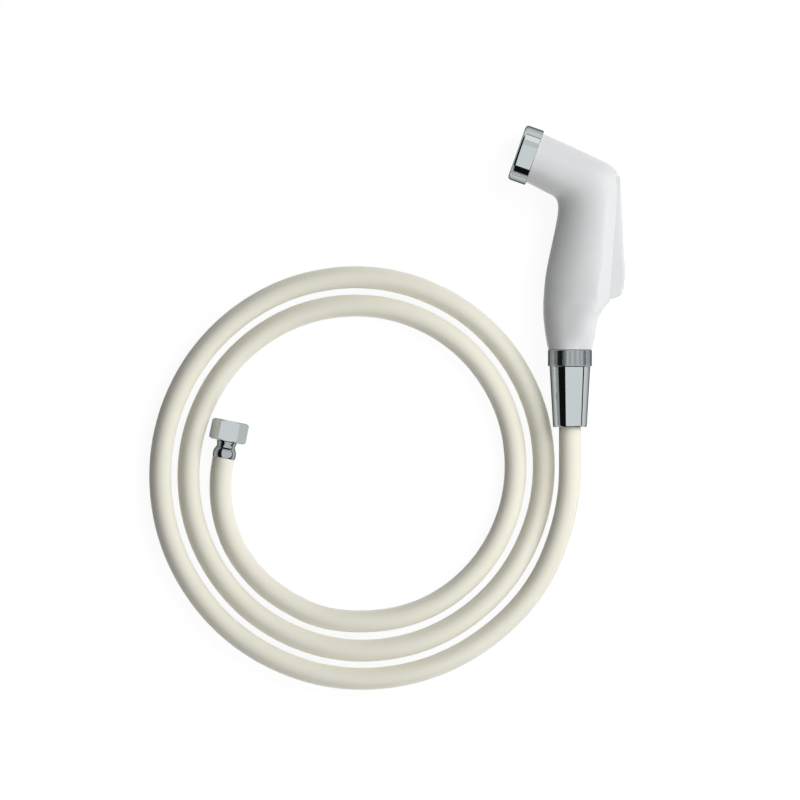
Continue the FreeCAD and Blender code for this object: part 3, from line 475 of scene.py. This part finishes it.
def make_nozzles(around=16):
    """A small turned lip round every jet: one ring of points, repeated at each jet's own place."""
    along, reach = softened(NOZZLE_PROFILE, radius=0.1, steps=3).T
    lip = round_grid(along, reach[:, None], full_turn(around)).reshape(-1, 3)
    side = grid_faces(len(along), around, True, True)
    turns = np.concatenate([(np.arange(count) + 0.5) / count for count in JET_COUNTS]) * 2 * math.pi
    circle = np.repeat(JET_CIRCLES, JET_COUNTS)
    centres = np.stack([np.zeros(len(turns)), circle * np.cos(turns), circle * np.sin(turns)], axis=-1)
    points = (centres[:, None] + lip).reshape(-1, 3)
    faces = (side + len(lip) * np.arange(len(turns))[:, None, None]).reshape(-1, 4)
    return made("jet_nozzles", in_place(points, HEAD), [faces])


# Hose: the heights along the grip's line that it leaves by, the coil's spiral, and its last points
HOSE_DIAMETER = 15.0
EXIT_POINTS = (22.6, 2.0, -59.0)
COIL_CENTRE = (-143.4, -29.9)
COIL_RADIUS = 145.5
COIL_PITCH = 19.2
COIL_OVAL = 0.8
COIL_OVAL_AT = math.radians(100)
COIL_START = math.radians(37.8)
COIL_STEP = math.radians(30)
COIL_POINTS = 26
CURVE_INSIDE = 0.9665
END_POINTS = ((-161.4, -134.1, 7.5), (-201.7, -114.5, 7.5), (-225.3, -89.2, 7.5), (-236.0, -63.2, 8.5))
END_RUN = 14.8


def coil_points(turn):
    """The flat coil: a radius that loses one pitch a turn, with a little oval in it."""
    oval = COIL_OVAL * np.cos(2 * (turn - COIL_OVAL_AT))
    radius = (COIL_RADIUS - COIL_PITCH * turn / (2 * math.pi) + oval) / CURVE_INSIDE
    x = COIL_CENTRE[0] + radius * np.cos(turn)
    y = COIL_CENTRE[1] - radius * np.sin(turn)
    return np.stack([x, y, np.full_like(x, HOSE_DIAMETER / 2)], axis=-1)


def hose_route():
    """Straight out of the tapered nut, down to the floor, round the coil and up to the wall end."""
    start = [(0, y, MIDDLE_Z) for y in EXIT_POINTS]
    coil = coil_points(COIL_START + COIL_STEP * np.arange(COIL_POINTS))
    route = np.vstack([start, coil, END_POINTS]) + (GRIP_AXIS[0], GRIP_AXIS[1], 0)
    ending = in_place(np.array([[-END_RUN, 0, 0], [0, 0, 0]]), WALL_END)
    return np.vstack([route * MM, ending])


def make_hose():
    """The hose as one smooth spline with a round section, and the route that it is drawn along."""
    route = hose_route()
    curve = bpy.data.curves.new("hose_line", "CURVE")
    curve.dimensions = "3D"
    curve.bevel_depth = HOSE_DIAMETER / 2 * MM
    curve.bevel_resolution = 12
    curve.resolution_u = 16
    curve.use_fill_caps = True
    line = curve.splines.new("NURBS")
    line.points.add(len(route) - 1)
    line.points.foreach_set("co", np.column_stack([route, np.ones(len(route))]).ravel())
    line.order_u = 3
    line.use_endpoint_u = True
    return placed("smooth_hose", curve), route


# Finishes: noise that drifts slowly over a piece, and finer noise for its grain
DRIFT_SCALE = 28.0
DRIFT_DETAIL = 3.0
GRAIN_DETAIL = 4.0
NOISE_MIDDLE = 0.5


def group_with(name, inputs, outputs):
    """An empty shader node group with named sockets, and its two end nodes."""
    group = bpy.data.node_groups.new(name, "ShaderNodeTree")
    for label, kind, value in inputs:
        socket = group.interface.new_socket(label, in_out="INPUT", socket_type=kind)
        socket.default_value = value
    for label, kind in outputs:
        group.interface.new_socket(label, in_out="OUTPUT", socket_type=kind)
    return group, group.nodes.new("NodeGroupInput"), group.nodes.new("NodeGroupOutput")


def noise_node(tree, vector, scale, detail):
    """The value of a noise texture at a place. Its scale is a number or a socket."""
    node = tree.nodes.new("ShaderNodeTexNoise")
    node.inputs["Detail"].default_value = detail
    tree.links.new(vector, node.inputs["Vector"])
    if isinstance(scale, (int, float)):
        node.inputs["Scale"].default_value = scale
    else:
        tree.links.new(scale, node.inputs["Scale"])
    return node.outputs["Fac"]


def math_node(tree, operation, first, second):
    """The result of a math node on two values, each a number or a socket."""
    node = tree.nodes.new("ShaderNodeMath")
    node.operation = operation
    for value, socket in zip((first, second), node.inputs):
        if isinstance(value, (int, float)):
            socket.default_value = value
        else:
            tree.links.new(value, socket)
    return node.outputs[0]


def surface_effect():
    """Fine relief, uneven gloss and a faint drift of colour, all from noise on the piece's own place."""
    inputs = [
        ("Vector", "NodeSocketVector", (0, 0, 0)),
        ("Colour", "NodeSocketColor", (0.8, 0.8, 0.8, 1)),
        ("Drift colour", "NodeSocketColor", (0.8, 0.8, 0.8, 1)),
        ("Gloss", "NodeSocketFloat", 0.3),
        ("Gloss spread", "NodeSocketFloat", 0.05),
        ("Grain size", "NodeSocketFloat", 900.0),
        ("Grain depth", "NodeSocketFloat", 0.00002),
    ]
    outputs = [
        ("Colour", "NodeSocketColor"),
        ("Roughness", "NodeSocketFloat"),
        ("Normal", "NodeSocketVector"),
    ]
    group, start, end = group_with("surface effect", inputs, outputs)
    place = start.outputs["Vector"]
    broad = noise_node(group, place, DRIFT_SCALE, DRIFT_DETAIL)
    fine = noise_node(group, place, start.outputs["Grain size"], GRAIN_DETAIL)
    mix = group.nodes.new("ShaderNodeMix")
    mix.data_type = "RGBA"
    group.links.new(broad, mix.inputs["Factor"])
    group.links.new(start.outputs["Colour"], mix.inputs["A"])
    group.links.new(start.outputs["Drift colour"], mix.inputs["B"])
    drift = math_node(group, "SUBTRACT", broad, NOISE_MIDDLE)
    spread = math_node(group, "MULTIPLY", drift, start.outputs["Gloss spread"])
    bump = group.nodes.new("ShaderNodeBump")
    bump.inputs["Strength"].default_value = 1.0
    group.links.new(fine, bump.inputs["Height"])
    group.links.new(start.outputs["Grain depth"], bump.inputs["Distance"])
    group.links.new(mix.outputs["Result"], end.inputs["Colour"])
    group.links.new(math_node(group, "ADD", start.outputs["Gloss"], spread), end.inputs["Roughness"])
    group.links.new(bump.outputs["Normal"], end.inputs["Normal"])
    return group


EFFECT = surface_effect()


def finish(name, colour, drift, gloss, spread=0.05, grain=900.0, depth=0.00002, **fixed):
    """A material of one Principled shader, fed by the surface effect with its own values."""
    material = bpy.data.materials.new(name)
    material.use_nodes = True
    tree = material.node_tree
    shader = tree.nodes["Principled BSDF"]
    effect = tree.nodes.new("ShaderNodeGroup")
    effect.node_tree = EFFECT
    place = tree.nodes.new("ShaderNodeTexCoord")
    tree.links.new(place.outputs["Object"], effect.inputs["Vector"])
    effect.inputs["Colour"].default_value = (*colour, 1)
    effect.inputs["Drift colour"].default_value = (*drift, 1)
    effect.inputs["Gloss"].default_value = gloss
    effect.inputs["Gloss spread"].default_value = spread
    effect.inputs["Grain size"].default_value = grain
    effect.inputs["Grain depth"].default_value = depth
    tree.links.new(effect.outputs["Colour"], shader.inputs["Base Color"])
    tree.links.new(effect.outputs["Roughness"], shader.inputs["Roughness"])
    tree.links.new(effect.outputs["Normal"], shader.inputs["Normal"])
    for socket, value in fixed.items():
        shader.inputs[socket.replace("_", " ")].default_value = value
    return material


# What is the same all over: the chrome's tint along its edges, and the light that sinks into the hose
CHROME = dict(Metallic=1.0, Specular_Tint=(0.07, 0.10, 0.12, 1))
HOSE_DEPTH = dict(Subsurface_Weight=0.3, Subsurface_Radius=(1.0, 0.9, 0.6), Subsurface_Scale=0.002)
FINISHES = {
    "white_shell": finish(
        "white moulded plastic", (0.767, 0.782, 0.787), (0.757, 0.774, 0.777),
        gloss=0.24, grain=1400, depth=0.000012, Specular_IOR_Level=0.36,
    ),
    "chrome_plate": finish(
        "chrome plate", (0.53, 0.56, 0.57), (0.50, 0.53, 0.54),
        gloss=0.05, spread=0.04, grain=300, depth=0.000003, **CHROME,
    ),
    "grey_face": finish(
        "grey face plastic", (0.60, 0.62, 0.63), (0.56, 0.58, 0.59), gloss=0.45, spread=0.08
    ),
    "black_rubber": finish(
        "black rubber", (0.025, 0.025, 0.027), (0.04, 0.04, 0.04),
        gloss=0.62, spread=0.12, grain=1200, depth=0.00003,
    ),
    "steel": finish(
        "steel", (0.58, 0.58, 0.57), (0.50, 0.50, 0.49),
        gloss=0.28, spread=0.12, grain=1500, depth=0.00001, Metallic=1.0,
    ),
    "inner_moulding": finish(
        "inner moulding", (0.80, 0.80, 0.77), (0.76, 0.76, 0.73), gloss=0.5, spread=0.1
    ),
    "brass": finish(
        "turned brass", (0.75, 0.55, 0.24), (0.66, 0.46, 0.19),
        gloss=0.25, spread=0.12, grain=1300, depth=0.00001, Metallic=1.0,
    ),
    "cream_pvc": finish(
        "cream hose", (0.885, 0.862, 0.76), (0.87, 0.842, 0.73),
        gloss=0.36, spread=0.07, grain=700, Specular_IOR_Level=0.42, **HOSE_DEPTH,
    ),
}
SATIN_CHROME = finish(
    "satin chrome", (0.40, 0.43, 0.44), (0.36, 0.39, 0.40),
    gloss=0.17, spread=0.06, grain=300, depth=0.000003, **CHROME,
)
FLUTED_CHROME = finish(
    "fluted chrome", (0.42, 0.45, 0.46), (0.38, 0.41, 0.42),
    gloss=0.25, spread=0.06, grain=300, depth=0.000003, **CHROME,
)
# Painted shade for the collar's grooves, mixed into the fluted chrome's colour by the dip
GROOVE_SHADE_COLOUR = (0.29, 0.31, 0.32, 1)


def paint_groove_shade(material):
    """Painted groove shade: the fluted chrome's colour falls to a darker painted shade as the piece's dip
    goes from 0 to 1.
    """
    tree = material.node_tree
    dip = tree.nodes.new("ShaderNodeAttribute")
    dip.attribute_name = "dip"
    mix = tree.nodes.new("ShaderNodeMix")
    mix.data_type = "RGBA"
    surface = tree.nodes["Group"].outputs["Colour"]
    tree.links.new(dip.outputs["Fac"], mix.inputs["Factor"])
    tree.links.new(surface, mix.inputs["A"])
    mix.inputs["B"].default_value = GROOVE_SHADE_COLOUR
    tree.links.new(mix.outputs["Result"], tree.nodes["Principled BSDF"].inputs["Base Color"])


# The collar's chrome gets painted shade in its grooves
paint_groove_shade(FLUTED_CHROME)


def dress(piece, slot):
    """Gives a new piece the finish that belongs to a slot."""
    piece.data.materials.clear()
    piece.data.materials.append(FINISHES[slot])


# Put together
shell = make_shell()
lever = make_lever()
nozzle_ring = turned("nozzle_ring_plated", RING_PROFILE, HEAD)
collar = make_collar()
cone = turned("tapered_nut_plated", CONE_PROFILE, GRIP_AXIS)
nozzles = make_nozzles()
ferrule = turned("wall_ferrule_plated", FERRULE_PROFILE, WALL_END, radius=0.5)
nut = make_hex_nut()
hose, route = make_hose()

NEW_PIECES = (
    (shell, "handset", "white_shell", "handset_body"),
    (lever, "lever", "white_shell", "thumb_lever"),
    (nozzle_ring, "handset", "chrome_plate", "nozzle_ring"),
    (collar, "handset", "chrome_plate", "inlet_collar"),
    (cone, "handset", "chrome_plate", "conical_nut"),
    (ferrule, "handset", "chrome_plate", "wall_ferrule"),
    (nut, "wall_nut", "chrome_plate", "hex_nut"),
    (hose, "handset", "cream_pvc", "hose"),
)
for piece, body, slot, node in NEW_PIECES:
    dress(piece, slot)
    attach(piece, body)
    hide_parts(node)
dress(nozzles, "black_rubber")
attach(nozzles, "handset")
collar.data.materials[0] = FLUTED_CHROME
ferrule.data.materials[0] = SATIN_CHROME

REPLACED = [node for _, _, _, node in NEW_PIECES]
for part in frame["record"]["subparts"]:
    if part["node"] not in REPLACED:
        inner = nodes[part["node"]]
        inner.data.materials.clear()
        inner.data.materials.append(FINISHES[part["material_slot"]])

# Camera and floor
VIEW_CENTRE = (-0.11336, -0.08408)
VIEW_WIDTH = 0.544
VIEW_HEIGHT = 1.5
FLOOR_REACH = 6.0
FLOOR_COLOUR = (0.70, 0.70, 0.70, 1)
SHADOW_COLOUR = (0.12, 0.12, 0.12, 1)
FLOOR_GLOW = 0.93


def make_floor():
    """A wide pale floor. Seen straight or in gloss it is near white and keeps a light shadow."""
    mesh = bpy.data.meshes.new("floor")
    reach = FLOOR_REACH
    corners = [(-reach, -reach, 0), (reach, -reach, 0), (reach, reach, 0), (-reach, reach, 0)]
    mesh.from_pydata(corners, [], [(0, 1, 2, 3)])
    floor = placed("floor", mesh)
    material = bpy.data.materials.new("pale floor")
    material.use_nodes = True
    tree = material.node_tree
    tree.nodes.clear()
    out = tree.nodes.new("ShaderNodeOutputMaterial")
    rays = tree.nodes.new("ShaderNodeLightPath")
    plain = tree.nodes.new("ShaderNodeBsdfDiffuse")
    plain.inputs["Color"].default_value = FLOOR_COLOUR
    shadow = tree.nodes.new("ShaderNodeBsdfDiffuse")
    shadow.inputs["Color"].default_value = SHADOW_COLOUR
    white = tree.nodes.new("ShaderNodeEmission")
    white.inputs["Strength"].default_value = FLOOR_GLOW
    bright = tree.nodes.new("ShaderNodeAddShader")
    tree.links.new(shadow.outputs[0], bright.inputs[0])
    tree.links.new(white.outputs[0], bright.inputs[1])
    seen = math_node(tree, "MAXIMUM", rays.outputs["Is Camera Ray"], rays.outputs["Is Glossy Ray"])
    seen = math_node(tree, "MAXIMUM", seen, rays.outputs["Is Transmission Ray"])
    mix = tree.nodes.new("ShaderNodeMixShader")
    tree.links.new(seen, mix.inputs[0])
    tree.links.new(plain.outputs[0], mix.inputs[1])
    tree.links.new(bright.outputs[0], mix.inputs[2])
    tree.links.new(mix.outputs[0], out.inputs["Surface"])
    mesh.materials.append(material)


# The room overhead, told by how far a direction leans for each unit that it rises.
# Its brightness changes by a step at each lean towards the head end, as (lean, step).
CEILING_STEPS = ((-1.3, 1.0), (0.75, -0.16), (1.75, 0.36))
CEILING_LEFT = -0.50
CEILING_RIGHT = 6.3
LEFT_GLOW_AT = -2.9
LEFT_GLOW = 0.43
DARK_GLOW = 0.008
SOFT_LIGHT = 0.115
GLOSS_LIGHT = 1.1
LEAST_RISE = 0.02
ROOM_COLOUR = (0.97, 0.99, 1.0, 1)


def make_studio():
    """The world as a room: a broad pale ceiling, a dark strip to its left and a dim wall past that."""
    world = bpy.data.worlds.new("studio")
    bpy.context.scene.world = world
    world.use_nodes = True
    tree = world.node_tree
    background = tree.nodes["Background"]
    direction = tree.nodes.new("ShaderNodeTexCoord")
    split = tree.nodes.new("ShaderNodeSeparateXYZ")
    rays = tree.nodes.new("ShaderNodeLightPath")
    tree.links.new(direction.outputs["Generated"], split.inputs[0])
    up = math_node(tree, "MAXIMUM", split.outputs["Z"], LEAST_RISE)
    across = math_node(tree, "DIVIDE", split.outputs["X"], up)
    along = math_node(tree, "DIVIDE", split.outputs["Y"], up)
    ceiling = 0.0
    for lean, step in CEILING_STEPS:
        past = math_node(tree, "GREATER_THAN", along, lean)
        ceiling = math_node(tree, "ADD", ceiling, math_node(tree, "MULTIPLY", past, step))
    ceiling = math_node(tree, "MULTIPLY", ceiling, math_node(tree, "GREATER_THAN", across, CEILING_LEFT))
    ceiling = math_node(tree, "MULTIPLY", ceiling, math_node(tree, "LESS_THAN", across, CEILING_RIGHT))
    wall = math_node(tree, "MULTIPLY", math_node(tree, "LESS_THAN", across, LEFT_GLOW_AT), LEFT_GLOW)
    glow = math_node(tree, "ADD", math_node(tree, "ADD", ceiling, wall), DARK_GLOW)
    level = math_node(tree, "MULTIPLY", rays.outputs["Is Glossy Ray"], GLOSS_LIGHT - SOFT_LIGHT)
    level = math_node(tree, "ADD", level, SOFT_LIGHT)
    tree.links.new(math_node(tree, "MULTIPLY", glow, level), background.inputs["Strength"])
    background.inputs["Color"].default_value = ROOM_COLOUR


# Lamps: name, degrees round from the X axis, degrees from upright, and power
LAMPS = (("key lamp", 35, 48, 45.0), ("fill lamp", -70, 55, 26.0))
SUBJECT = (-0.1, -0.08, 0.0)
LAMP_DISTANCE = 2.3
LAMP_SIZE = 1.8


def add_lamp(name, round_from_x, from_upright, power):
    """A large soft lamp, placed by two angles in degrees. It lights without showing in the gloss."""
    lamp = bpy.data.lights.new(name, "AREA")
    lamp.size = LAMP_SIZE
    lamp.energy = power
    holder = placed(name, lamp)
    turn, lean = math.radians(round_from_x), math.radians(from_upright)
    towards = Vector((math.sin(lean) * math.cos(turn), math.sin(lean) * math.sin(turn), math.cos(lean)))
    holder.location = Vector(SUBJECT) + towards * LAMP_DISTANCE
    holder.rotation_euler = towards.to_track_quat("Z", "Y").to_euler()
    holder.visible_glossy = False


make_floor()
make_studio()
for lamp_values in LAMPS:
    add_lamp(*lamp_values)

camera_data = bpy.data.cameras.new("camera")
camera_data.type = "ORTHO"
camera_data.ortho_scale = VIEW_WIDTH
camera = placed("camera", camera_data)
camera.location = (*VIEW_CENTRE, VIEW_HEIGHT)
bpy.context.scene.camera = camera
bpy.context.scene.view_settings.view_transform = "Standard"
